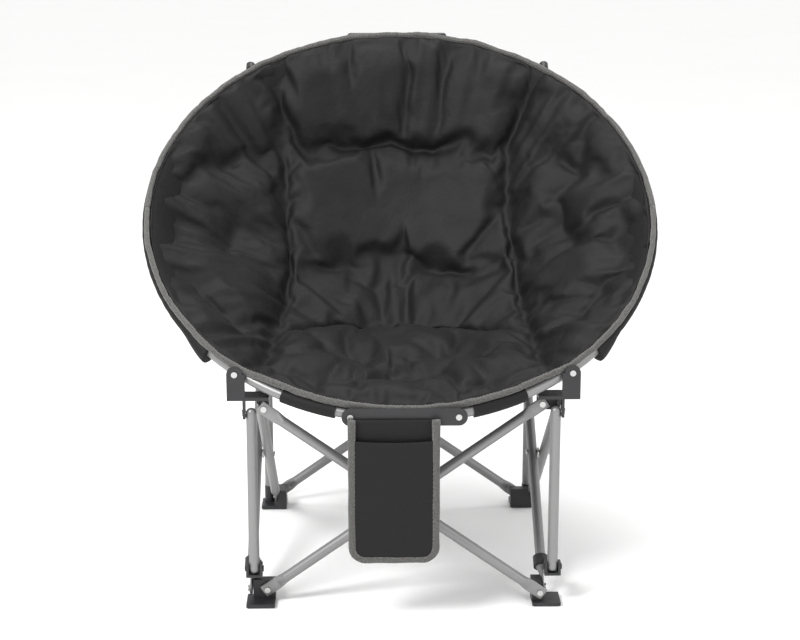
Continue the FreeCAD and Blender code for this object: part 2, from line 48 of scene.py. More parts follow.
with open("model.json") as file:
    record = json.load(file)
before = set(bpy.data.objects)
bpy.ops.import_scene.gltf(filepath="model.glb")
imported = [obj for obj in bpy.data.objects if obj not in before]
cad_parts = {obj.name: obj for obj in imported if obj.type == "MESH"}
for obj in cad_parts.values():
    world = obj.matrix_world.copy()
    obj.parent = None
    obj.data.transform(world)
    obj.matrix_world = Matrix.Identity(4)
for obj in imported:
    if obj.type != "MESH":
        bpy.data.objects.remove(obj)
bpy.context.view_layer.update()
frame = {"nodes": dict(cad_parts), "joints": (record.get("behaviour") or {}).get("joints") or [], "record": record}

# The rim ring of the chair, from the model's own pivots: its middle and its tilt, in metres.
PIVOTS = {joint["name"]: np.array(joint["pos_m"]) for joint in frame["joints"] if "pos_m" in joint}
FRONT_HOLD = PIVOTS["front_left_arc_turn"]
BACK_HOLD = PIVOTS["back_left_arc_turn"]
RING_MIDDLE = (FRONT_HOLD + BACK_HOLD) / 2 * np.array([0.0, 1.0, 1.0])
FORWARD = (FRONT_HOLD - BACK_HOLD) / np.linalg.norm(FRONT_HOLD - BACK_HOLD)
ACROSS = np.array([1.0, 0.0, 0.0])
OUTWARD = np.cross(FORWARD, ACROSS)
RING_RADIUS = float(np.linalg.norm(FRONT_HOLD - RING_MIDDLE))
QUARTERS = [("front", "left"), ("front", "right"), ("back", "left"), ("back", "right")]


def linear(text):
    """An sRGB hex colour as linear red, green, blue and alpha."""
    values = [int(text[i:i + 2], 16) / 255 for i in (0, 2, 4)]
    return tuple(v / 12.92 if v <= 0.04045 else ((v + 0.055) / 1.055) ** 2.4 for v in values) + (1.0,)


class CoverSettings(bpy.types.PropertyGroup):
    """Sizes and colours of the padded cover."""
    # Two tones of the cloth, mixed in the finish by random clouds of about 55 mm; the dark tone is not placed in the
    # folds, and the light tone is not placed on the crowns.
    cloth_dark: bpy.props.FloatVectorProperty(
        name="Cloth in folds", description="Colour of the cloth where it lies deep", subtype="COLOR", size=4,
        default=linear("0c0b0b"))
    cloth_light: bpy.props.FloatVectorProperty(
        name="Cloth on crowns", description="Colour of the cloth where it is rubbed", subtype="COLOR", size=4,
        default=linear("161414"))
    crease_depth: bpy.props.FloatProperty(
        name="Seam depth", description="How deep a sewn seam pulls the padding in", default=0.013, unit="LENGTH")
    fold_depth: bpy.props.FloatProperty(
        name="Rim fold depth", description="Depth of the gathers along the rim", default=0.0055, unit="LENGTH")
    puff: bpy.props.FloatProperty(
        name="Filling pressure", description="Pressure of the filling in the cloth simulation", default=4.0)
    slack: bpy.props.FloatProperty(
        name="Slack", description="Share by which the cloth is cut larger than the pad", default=0.09)
    most_swell: bpy.props.FloatProperty(
        name="Most swell", description="The furthest that a point of the pad may swell", default=0.022,
        unit="LENGTH")
    cells: bpy.props.IntProperty(
        name="Cells across", description="Mesh cells across the bowl before it is refined", default=104)


class TrimSettings(bpy.types.PropertyGroup):
    """Sizes and colours of the tape, the channels and the pocket."""
    tape_dark: bpy.props.FloatVectorProperty(
        name="Tape, dark yarn", description="Darker yarn of the heathered tape", subtype="COLOR", size=4,
        default=linear("363634"))
    tape_light: bpy.props.FloatVectorProperty(
        name="Tape, light yarn", description="Lighter yarn of the heathered tape", subtype="COLOR", size=4,
        default=linear("595856"))
    thread: bpy.props.FloatVectorProperty(
        name="Thread", description="Colour of the sewing thread", subtype="COLOR", size=4,
        default=linear("757471"))
    tape_width: bpy.props.FloatProperty(
        name="Tape width", description="Width of the folded tape", default=0.0115, unit="LENGTH")
    channel_radius: bpy.props.FloatProperty(
        name="Channel radius", description="Radius of the cloth channel round the rim tube", default=0.0096,
        unit="LENGTH")
    channel_start: bpy.props.FloatProperty(
        name="Channel start", description="Degrees from the front of the rim at which the channel opens",
        default=46.0)


class MetalSettings(bpy.types.PropertyGroup):
    """Colours of the hard parts."""
    tube_colour: bpy.props.FloatVectorProperty(
        name="Tube coat", description="Colour of the powder coat", subtype="COLOR", size=4,
        default=linear("868686"))
    plastic_colour: bpy.props.FloatVectorProperty(
        name="Plastic", description="Colour of the moulded nylon", subtype="COLOR", size=4,
        default=linear("18181a"))
    rivet_colour: bpy.props.FloatVectorProperty(
        name="Rivets", description="Colour of the plated rivets", subtype="COLOR", size=4,
        default=linear("c3c3c2"))


class StageSettings(bpy.types.PropertyGroup):
    """Camera and light of the picture."""
    lens: bpy.props.FloatProperty(name="Lens", description="Focal length in millimetres", default=82.5)
    distance: bpy.props.FloatProperty(
        name="Distance", description="Camera to the line of the front feet", default=2.647, unit="LENGTH")
    height: bpy.props.FloatProperty(
        name="Height", description="Height of the camera", default=1.127, unit="LENGTH")
    pitch: bpy.props.FloatProperty(
        name="Pitch", description="How far the camera looks down", default=math.radians(14.26),
        subtype="ANGLE")
    turn: bpy.props.FloatProperty(
        name="Turn", description="How far round to the left the camera stands", default=math.radians(1.2),
        subtype="ANGLE")
    swing: bpy.props.FloatProperty(
        name="Swing", description="How far left of the chair's middle the camera looks",
        default=math.radians(0.12), subtype="ANGLE")


def node(tree, kind, inputs=None, **settings):
    """Adds a node with its settings; an input is a value or the socket that feeds it."""
    made = tree.nodes.new(kind)
    for key, value in settings.items():
        setattr(made, key, value)
    for key, value in (inputs or {}).items():
        if isinstance(value, bpy.types.NodeSocket):
            tree.links.new(value, made.inputs[key])
        else:
            made.inputs[key].default_value = value
    return made


def begin_material(name):
    """A fresh material with a shader, and the piece's own coordinates in metres."""
    material = bpy.data.materials.new(name)
    material.use_nodes = True
    tree = material.node_tree
    tree.nodes.clear()
    shader = node(tree, "ShaderNodeBsdfPrincipled")
    node(tree, "ShaderNodeOutputMaterial", {"Surface": shader.outputs[0]})
    place = node(tree, "ShaderNodeTexCoord").outputs["Object"]
    return material, tree, shader, place


def per_metre(millimetres):
    """Pattern scale for a feature of this size."""
    return 1000.0 / millimetres


def woven_polyester(name, dark, light):
    # Dense plain weave of dull black polyester: matt, with a faint sheen along the crowns and a fine grain.
    # The real thread is 0.4 mm; it is drawn at 1.6 mm so that it shows.
    material, tree, shader, place = begin_material(name)
    # The two cloth tones are mixed by random clouds of about 55 mm, not by where the folds and crowns lie.
    clouds = node(tree, "ShaderNodeTexNoise", {"Vector": place, "Scale": per_metre(55), "Detail": 4.0})
    tint = node(tree, "ShaderNodeMix", {"Factor": clouds.outputs["Fac"], "A": dark, "B": light},
                data_type="RGBA")
    tree.links.new(tint.outputs["Result"], shader.inputs["Base Color"])
    gloss = node(tree, "ShaderNodeMapRange", {"Value": clouds.outputs["Fac"], "To Min": 0.56, "To Max": 0.72})
    tree.links.new(gloss.outputs["Result"], shader.inputs["Roughness"])
    warp = node(tree, "ShaderNodeTexWave", {"Vector": place, "Scale": per_metre(1.6) / 6.283,
                                            "Distortion": 0.6}, bands_direction="X")
    weft = node(tree, "ShaderNodeTexWave", {"Vector": place, "Scale": per_metre(1.6) / 6.283,
                                            "Distortion": 0.6}, bands_direction="Z")
    weave = node(tree, "ShaderNodeMath", {0: warp.outputs["Fac"], 1: weft.outputs["Fac"]}, operation="MULTIPLY")
    grain = node(tree, "ShaderNodeBump", {"Height": weave.outputs[0], "Strength": 0.25, "Distance": 0.0004})
    crumple = node(tree, "ShaderNodeTexNoise", {"Vector": place, "Scale": per_metre(22), "Detail": 5.0,
                                                "Distortion": 0.7})
    creased = node(tree, "ShaderNodeBump", {"Height": crumple.outputs["Fac"], "Strength": 0.35,
                                            "Distance": 0.004, "Normal": grain.outputs["Normal"]})
    tree.links.new(creased.outputs["Normal"], shader.inputs["Normal"])
    shader.inputs["Sheen Weight"].default_value = 0.012
    shader.inputs["Sheen Roughness"].default_value = 0.45
    shader.inputs["Specular IOR Level"].default_value = 0.25
    return material


def heathered_tape(name, dark, light):
    # Flat woven tape of mixed dark and pale yarn: speckled grey, ribbed across, no gloss.
    material, tree, shader, place = begin_material(name)
    yarn = node(tree, "ShaderNodeTexNoise", {"Vector": place, "Scale": per_metre(1.7), "Detail": 3.0})
    sharp = node(tree, "ShaderNodeMapRange", {"Value": yarn.outputs["Fac"], "From Min": 0.36, "From Max": 0.64})
    tint = node(tree, "ShaderNodeMix", {"Factor": sharp.outputs["Result"], "A": dark, "B": light},
                data_type="RGBA")
    tree.links.new(tint.outputs["Result"], shader.inputs["Base Color"])
    bump = node(tree, "ShaderNodeBump", {"Height": yarn.outputs["Fac"], "Strength": 0.5, "Distance": 0.0008})
    tree.links.new(bump.outputs["Normal"], shader.inputs["Normal"])
    shader.inputs["Roughness"].default_value = 0.88
    shader.inputs["Sheen Weight"].default_value = 0.2
    return material


def powder_coated_steel(name, colour):
    # Silver-grey powder coat baked on steel tube: satin, with a fine orange peel of about 1.5 mm.
    material, tree, shader, place = begin_material(name)
    peel = node(tree, "ShaderNodeTexNoise", {"Vector": place, "Scale": per_metre(1.5), "Detail": 2.0})
    rub = node(tree, "ShaderNodeTexNoise", {"Vector": place, "Scale": per_metre(70), "Detail": 5.0})
    worn = tuple(c * 0.86 for c in colour[:3]) + (1.0,)
    tint = node(tree, "ShaderNodeMix", {"Factor": rub.outputs["Fac"], "A": worn, "B": tuple(colour)},
                data_type="RGBA")
    tree.links.new(tint.outputs["Result"], shader.inputs["Base Color"])
    gloss = node(tree, "ShaderNodeMapRange", {"Value": rub.outputs["Fac"], "To Min": 0.34, "To Max": 0.5})
    tree.links.new(gloss.outputs["Result"], shader.inputs["Roughness"])
    bump = node(tree, "ShaderNodeBump", {"Height": peel.outputs["Fac"], "Strength": 0.2, "Distance": 0.0003})
    tree.links.new(bump.outputs["Normal"], shader.inputs["Normal"])
    shader.inputs["Metallic"].default_value = 0.55
    return material


def moulded_nylon(name, colour):
    # Black glass-filled nylon from a spark-eroded mould: low gloss with a fine pebble of about 0.9 mm.
    material, tree, shader, place = begin_material(name)
    pebble = node(tree, "ShaderNodeTexNoise", {"Vector": place, "Scale": per_metre(0.9), "Detail": 2.0})
    dust = node(tree, "ShaderNodeTexNoise", {"Vector": place, "Scale": per_metre(24), "Detail": 4.0})
    pale = tuple(min(1.0, c * 1.9) for c in colour[:3]) + (1.0,)
    tint = node(tree, "ShaderNodeMix", {"Factor": dust.outputs["Fac"], "A": tuple(colour), "B": pale},
                data_type="RGBA")
    tree.links.new(tint.outputs["Result"], shader.inputs["Base Color"])
    gloss = node(tree, "ShaderNodeMapRange", {"Value": dust.outputs["Fac"], "To Min": 0.38, "To Max": 0.55})
    tree.links.new(gloss.outputs["Result"], shader.inputs["Roughness"])
    bump = node(tree, "ShaderNodeBump", {"Height": pebble.outputs["Fac"], "Strength": 0.3, "Distance": 0.0003})
    tree.links.new(bump.outputs["Normal"], shader.inputs["Normal"])
    return material


def plated_steel(name, colour):
    # Zinc-plated steel rivets: bright, with a slight bloom that varies the gloss.
    material, tree, shader, place = begin_material(name)
    bloom = node(tree, "ShaderNodeTexNoise", {"Vector": place, "Scale": per_metre(5), "Detail": 4.0})
    dull = tuple(c * 0.75 for c in colour[:3]) + (1.0,)
    tint = node(tree, "ShaderNodeMix", {"Factor": bloom.outputs["Fac"], "A": dull, "B": tuple(colour)},
                data_type="RGBA")
    tree.links.new(tint.outputs["Result"], shader.inputs["Base Color"])
    gloss = node(tree, "ShaderNodeMapRange", {"Value": bloom.outputs["Fac"], "To Min": 0.18, "To Max": 0.4})
    tree.links.new(gloss.outputs["Result"], shader.inputs["Roughness"])
    shader.inputs["Metallic"].default_value = 1.0
    return material


def limewashed_floor(name):
    # Matt white studio floor: near-white paint with a very faint mottle.
    material, tree, shader, place = begin_material(name)
    mottle = node(tree, "ShaderNodeTexNoise", {"Vector": place, "Scale": per_metre(400), "Detail": 3.0})
    tint = node(tree, "ShaderNodeMix", {"Factor": mottle.outputs["Fac"], "A": linear("f8f8f7"),
                                        "B": linear("fbfbfb")}, data_type="RGBA")
    tree.links.new(tint.outputs["Result"], shader.inputs["Base Color"])
    shader.inputs["Roughness"].default_value = 0.9
    return material


def finish_once(name, maker, *colours):
    """The named finish, made the first time that a piece asks for it."""
    found = bpy.data.materials.get(name)
    return found or maker(name, *colours)


def cover_cloth():
    cover = bpy.context.scene.chair_cover
    return finish_once("woven_polyester_cover", woven_polyester, tuple(cover.cloth_dark), tuple(cover.cloth_light))


def tape_cloth():
    trim = bpy.context.scene.chair_trim
    return finish_once("heathered_woven_tape", heathered_tape, tuple(trim.tape_dark), tuple(trim.tape_light))


def spun_thread():
    trim = bpy.context.scene.chair_trim
    return finish_once("spun_polyester_thread", heathered_tape, tuple(trim.tape_light), tuple(trim.thread))


def mesh_piece(name, points, faces, material, smooth=True):
    """A mesh object in the row frame, with its points given in metres."""
    mesh = bpy.data.meshes.new(name)
    mesh.from_pydata([tuple(p) for p in points], [], faces)
    mesh.update()
    made = bpy.data.objects.new(name, mesh)
    bpy.context.scene.collection.objects.link(made)
    made.data.materials.append(material)
    if smooth:
        mesh.polygons.foreach_set("use_smooth", [True] * len(mesh.polygons))
    return made


def ring_frame(phi, side, radius, rise):
    """A point on a circle about the ring's axis, with its outward direction."""
    away = ACROSS * side * math.sin(phi) + FORWARD * math.cos(phi)
    return RING_MIDDLE + away * radius + OUTWARD * rise, away


def ripple(seed, value, size):
    """A smooth deterministic wander between minus one and one."""
    return noise.noise(Vector((value / size, seed * 7.31, seed * 1.7)))


def sweep(name, stations, material, closed_ends=True):
    """Skins a run of stations. Each station is a centre, two directions and a list of section points."""
    points = []
    for centre, first, second, section in stations:
        for a, b in section:
            points.append(centre + first * a + second * b)
    around = len(stations[0][3])
    faces = []
    for i in range(len(stations) - 1):
        for j in range(around):
            k = (j + 1) % around
            faces.append((i * around + j, i * around + k, (i + 1) * around + k, (i + 1) * around + j))
    if closed_ends:
        faces.append(tuple(reversed(range(around))))
        faces.append(tuple((len(stations) - 1) * around + j for j in range(around)))
    made = mesh_piece(name, points, faces, material)
    made.data.validate()
    mesh = bmesh.new()
    mesh.from_mesh(made.data)
    bmesh.ops.recalc_face_normals(mesh, faces=mesh.faces)
    mesh.to_mesh(made.data)
    mesh.free()
    return made


def oval(half_wide, half_tall, count=14):
    return [(half_wide * math.cos(2 * math.pi * j / count), half_tall * math.sin(2 * math.pi * j / count))
            for j in range(count)]


def stitch_row(name, spots, thread):
    """A row of short threads. Each spot is a place on the tape, the way of the row and the way out."""
    long, thick, count = 0.0021, 0.00042, 6
    points, faces = [], []
    for place, along, out in spots:
        across = np.cross(along, out)
        first = len(points)
        for at, swell in ((-1.0, 0.35), (-0.6, 1.0), (0.6, 1.0), (1.0, 0.35)):
            for j in range(count):
                turn = 2 * math.pi * j / count
                ring = across * math.cos(turn) + out * math.sin(turn)
                points.append(place + along * (at * long) + ring * (thick * swell))
        for k in range(3):
            for j in range(count):
                a, b = first + k * count + j, first + k * count + (j + 1) % count
                faces.append((a, b, b + count, a + count))
        faces.append(tuple(first + j for j in reversed(range(count))))
        faces.append(tuple(first + 3 * count + j for j in range(count)))
    return mesh_piece(name, points, faces, thread)


def ease(low, high, value):
    t = np.clip((value - low) / (high - low), 0.0, 1.0)
    return t * t * (3 - 2 * t)


# The bowl in millimetres: its rim, how far the rim reaches over the tube behind the front sleeves, how high
# the rim stands over the ring's plane, how deep the bowl hangs, and the thickness of its edge and its filling.
RIM, RIM_WRAP, RIM_HIGH, BOWL_DEEP = 397, 7, 12, 232
EDGE_THICK, FILLING = 3, 20
# The rim wraps the tube from the first to the second of these turns, in degrees from the front.
WRAP_FROM, WRAP_TO = 28, 40

# Sewn lines of the cover in the plan of the ring, in millimetres: across, then towards the front.
SEAMS = [
    [(-206, -345), (-198, -228), (-192, -138), (-186, -30), (-190, 60), (-204, 156)],
    [(240, -318), (192, -234), (186, -138), (198, -24), (202, 70), (210, 162)],
    [(-204, 156), (-114, 96), (0, 80), (102, 96), (210, 162)],
    [(-204, 156), (-210, 250), (-232, 322)],
    [(210, 162), (216, 250), (228, 324)],
]
# Softer pulls: the short line across the upper back and the short tacks that hold the filling.
PULLS = [
    [(-100, -250), (-18, -262), (62, -252)],
    [(-132, -40), (-84, -54)],
    [(52, -54), (116, -36)],
    [(-286, -2), (-274, -52)],
    [(290, -8), (276, -56)],
    [(-96, 214), (-60, 226)],
    [(64, 214), (104, 228)],
    [(-16, 292), (22, 288)],
    [(-120, 330), (-96, 318)],
    [(110, 330), (136, 312)],
    [(-322, 130), (-288, 160)],
    [(322, 130), (292, 164)],
    [(-300, -150), (-276, -176)],
    [(306, -140), (280, -170)],
]


def line_distance(u, w, line):
    """Distance in the plan from each point to a broken line."""
    best = np.full(u.shape, 1e9)
    for (x0, y0), (x1, y1) in zip(line[:-1], line[1:]):
        dx, dy = x1 - x0, y1 - y0
        t = np.clip(((u - x0) * dx + (w - y0) * dy) / (dx * dx + dy * dy), 0, 1)
        best = np.minimum(best, np.hypot(u - x0 - t * dx, w - y0 - t * dy))
    return best


def bowl_grid(settings):
    """Top and back faces of the padded bowl on one grid, with how firmly each point is sewn."""
    n = settings.cells
    a, b = np.meshgrid(np.linspace(-1, 1, n + 1), np.linspace(-1, 1, n + 1), indexing="ij")
    u = a * np.sqrt(1 - b * b / 2)
    w = b * np.sqrt(1 - a * a / 2)
    share = np.minimum(np.hypot(u, w), 1.0)
    phi = np.arctan2(np.abs(u), w)
    rim = RIM + RIM_WRAP * ease(math.radians(WRAP_FROM), math.radians(WRAP_TO), phi)
    u, w = u * rim, w * rim
    rise = RIM_HIGH - BOWL_DEEP * (1 - share ** 1.6)
    rise = rise + 7 * ease(0.86, 0.94, share) * ease(1.0, 0.98, share)
    in_seat = ease(-20, 60, w - 80 - np.abs(u) * 0.38) * ease(20, -30, np.abs(u) - 200)
    rise = rise + 14 * in_seat * (1 - share ** 6)
    seam_near = np.full(u.shape, 1e9)
    for line in SEAMS:
        seam_near = np.minimum(seam_near, line_distance(u, w, line))
    pull_near = np.full(u.shape, 1e9)
    for line in PULLS:
        pull_near = np.minimum(pull_near, line_distance(u, w, line))
    depth = settings.crease_depth * 1000
    swell = np.zeros(u.shape)
    swell -= depth * np.exp(-(seam_near / 11) ** 2)
    swell -= depth * 0.85 * np.exp(-(pull_near / 9) ** 2)
    gather = np.zeros(u.shape)
    wander = np.zeros(u.shape)
    for i in range(n + 1):
        for j in range(n + 1):
            turn = math.atan2(u[i, j], w[i, j])
            spot = Vector((u[i, j] / 75, w[i, j] / 75, 3.1))
            wander[i, j] = noise.noise(spot) * 5 + noise.noise(spot * 2.7) * 2.6
            ray = Vector((math.cos(turn) * 8.5, math.sin(turn) * 8.5, share[i, j] * 0.9))
            crest = 1 - 2.4 * abs(noise.noise(ray * 1.3))
            gather[i, j] = 0.7 * noise.noise(ray) + 0.4 * noise.noise(ray * 2.1) + 0.55 * (crest - 0.4)
    fold = ease(0.45, 0.92, share) * ease(1.005, 0.95, share)
    swell += gather * fold * settings.fold_depth * 1800 + wander * ease(1.0, 0.93, share)
    thick = EDGE_THICK + FILLING * ease(0.0, 0.16, 1 - share)
    top = rise + swell
    bottom = rise - thick + np.minimum(swell, 0) * 0.2
    sewn = np.maximum(np.exp(-(seam_near / 6) ** 2), 0.9 * np.exp(-(pull_near / 6) ** 2))
    sewn = np.maximum(sewn, ease(0.965, 0.995, share))
    return u, w, top, bottom, sewn


def bowl_points(u, w, rise):
    plan = u[..., None] * ACROSS + w[..., None] * FORWARD + rise[..., None] * OUTWARD
    return RING_MIDDLE + plan.reshape(-1, 3) / 1000


def bowl_faces(n):
    """Quads of the top and the back, joined along the border of the grid."""
    row = n + 1
    count = row * row
    border = [i in (0, n) or j in (0, n) for i in range(row) for j in range(row)]
    back = {}
    following = count
    for k in range(count):
        if border[k]:
            back[k] = k
        else:
            back[k] = following
            following += 1
    faces = []
    for i in range(n):
        for j in range(n):
            quad = (i * row + j, i * row + j + 1, (i + 1) * row + j + 1, (i + 1) * row + j)
            faces.append(quad)
            faces.append(tuple(back[k] for k in reversed(quad)))
    inner = [k for k in range(count) if not border[k]]
    return faces, inner, count


def puff_with_cloth(made, firmness, settings):
    """Swells the pad with Blender's cloth, and returns where its points end up."""
    group = made.vertex_groups.new(name="sewn")
    for k, value in enumerate(firmness):
        group.add([k], float(value), "REPLACE")
    cloth = made.modifiers.new("Filling", "CLOTH")
    cloth.settings.quality = 5
    cloth.settings.mass = 0.25
    cloth.settings.tension_stiffness = 12
    cloth.settings.compression_stiffness = 12
    cloth.settings.shear_stiffness = 4
    cloth.settings.bending_stiffness = 0.4
    cloth.settings.vertex_group_mass = "sewn"
    cloth.settings.use_pressure = True
    cloth.settings.uniform_pressure_force = settings.puff
    cloth.settings.shrink_min = -settings.slack
    cloth.settings.effector_weights.gravity = 0
    cloth.collision_settings.use_collision = False
    cloth.point_cache.frame_start = 1
    cloth.point_cache.frame_end = 20
    scene = bpy.context.scene
    for step in range(1, 21):
        scene.frame_set(step)
    ready = made.evaluated_get(bpy.context.evaluated_depsgraph_get())
    moved = np.array([v.co for v in ready.data.vertices])
    made.modifiers.clear()
    scene.frame_set(1)
    return moved


def quarter(mesh, name, forward, side, material):
    """The part of the bowl in one quarter of the ring, closed where it is cut."""
    part = bmesh.new()
    part.from_mesh(mesh)
    cuts = [(Vector(RING_MIDDLE), Vector(FORWARD) * forward), (Vector(RING_MIDDLE), Vector(ACROSS) * side)]
    for spot, keep_side in cuts:
        geometry = part.verts[:] + part.edges[:] + part.faces[:]
        bmesh.ops.bisect_plane(part, geom=geometry, dist=1e-7, plane_co=spot, plane_no=keep_side,
                               clear_inner=True)
        open_edges = [e for e in part.edges if e.is_boundary]
        bmesh.ops.edgeloop_fill(part, edges=open_edges)
        for edge in open_edges:
            edge.smooth = False
    bmesh.ops.triangulate(part, faces=[f for f in part.faces if len(f.verts) > 4])
    bmesh.ops.recalc_face_normals(part, faces=part.faces)
    made_mesh = bpy.data.meshes.new(name)
    part.to_mesh(made_mesh)
    part.free()
    made_mesh.materials.clear()
    made_mesh.materials.append(material)
    made_mesh.polygons.foreach_set("use_smooth", [True] * len(made_mesh.polygons))
    made = bpy.data.objects.new(name, made_mesh)
    bpy.context.scene.collection.objects.link(made)
    return made


class CHAIR_OT_cover(bpy.types.Operator):
    """Make the padded bowl, swell it, and cut it into the four panels that fold"""
    bl_idname = "chair.cover"
    bl_label = "Padded cover"

    def execute(self, context):
        settings = context.scene.chair_cover
        cloth = cover_cloth()
        u, w, top, bottom, sewn = bowl_grid(settings)
        faces, inner, count = bowl_faces(settings.cells)
        front_points = bowl_points(u, w, top)
        back_points = bowl_points(u, w, bottom)[inner]
        start = np.vstack([front_points, back_points])
        firmness = np.concatenate([sewn.reshape(-1), np.ones(len(inner))])
        pad = mesh_piece("bowl_before_cutting", start, faces, cloth)
        moved = puff_with_cloth(pad, firmness, settings)
        shift = moved - start
        far = np.linalg.norm(shift, axis=1, keepdims=True)
        shift *= np.minimum(1.0, settings.most_swell / np.maximum(far, 1e-9))
        pad.data.vertices.foreach_set("co", (start + shift).reshape(-1))
        pad.data.update()
        fine = pad.modifiers.new("Refine", "SUBSURF")
        fine.levels = 1
        fine.render_levels = 1
        refined = bpy.data.meshes.new_from_object(pad.evaluated_get(context.evaluated_depsgraph_get()))
        bpy.data.objects.remove(pad)
        for which, hand in QUARTERS:
            forward = 1 if which == "front" else -1
            side = -1 if hand == "left" else 1
            name = "%s_%s_padded_panel" % (which, hand)
            panel = quarter(refined, name, forward, side, cloth)
            if len(panel.data.polygons) < 100:
                raise RuntimeError("the cut left nothing of " + name)
            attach(panel, "%s_%s_arc" % (which, hand))
            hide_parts("%s_%s_panel" % (which, hand))
            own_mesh(panel)
        return {"FINISHED"}


class CHAIR_OT_rim(bpy.types.Operator):
    """Make the grey tape along the rim and the cloth channels round the rim tube"""
    bl_idname = "chair.rim"
    bl_label = "Rim tape and channels"

    def execute(self, context):
        trim = context.scene.chair_trim
        cloth = cover_cloth()
        tape = tape_cloth()
        thread = spun_thread()
        half = trim.tape_width / 2
        for which, hand in QUARTERS:
            side = -1 if hand == "left" else 1
            start, end = (0.0, 90.0) if which == "front" else (90.0, 180.0)
            run, spots = [], []
            for k in range(121):
                degrees = start + (end - start) * k / 120
                phi = math.radians(degrees)
                along = phi * side
                wrapped = float(ease(WRAP_FROM, WRAP_TO, degrees))
                radius = 0.400 + 0.0065 * wrapped + 0.0016 * ripple(1, along, 0.08) + 0.0008 * ripple(2, along, 0.02)
                rise = 0.0150 - 0.003 * wrapped + 0.0022 * ripple(3, along, 0.11) + 0.0009 * ripple(4, along, 0.025)
                spot, away = ring_frame(phi, side, radius, rise)
                wide = half * (0.92 + 0.16 * ripple(5, along, 0.05))
                run.append((spot, away, OUTWARD, oval(wide * 0.8, wide * 1.06)))
                if 0 < k < 120:
                    out = (OUTWARD - away * 0.9) / math.hypot(1, 0.9)
                    along_row = np.cross(out, away)
                    row_way = along_row / np.linalg.norm(along_row)
                    spots.append((spot - away * wide * 0.57 + OUTWARD * wide * 0.76, row_way, out))
            tape_piece = sweep("%s_%s_rim_tape" % (which, hand), run, tape)
            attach(tape_piece, "%s_%s_arc" % (which, hand))
            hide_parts("%s_%s_binding" % (which, hand))
            row = stitch_row("%s_%s_rim_stitches" % (which, hand), spots, thread)
            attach(row, "%s_%s_arc" % (which, hand))
            start, end = (trim.channel_start, 90.0) if which == "front" else (90.0, 166.0)
            run = []
            for k in range(91):
                phi = math.radians(start + (end - start) * k / 90)
                loose = float(ease(9, 0, math.degrees(phi) - trim.channel_start))
                spot, away = ring_frame(phi, side, RING_RADIUS + 0.004 * loose, -0.004 * loose)
                thick = trim.channel_radius + 0.0006 * ripple(6, phi * side, 0.03) + 0.0045 * loose
                run.append((spot, away, OUTWARD, oval(thick, thick, 16)))
            channel = sweep("%s_%s_rim_channel" % (which, hand), run, cloth)
            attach(channel, "%s_%s_arc" % (which, hand))
        return {"FINISHED"}


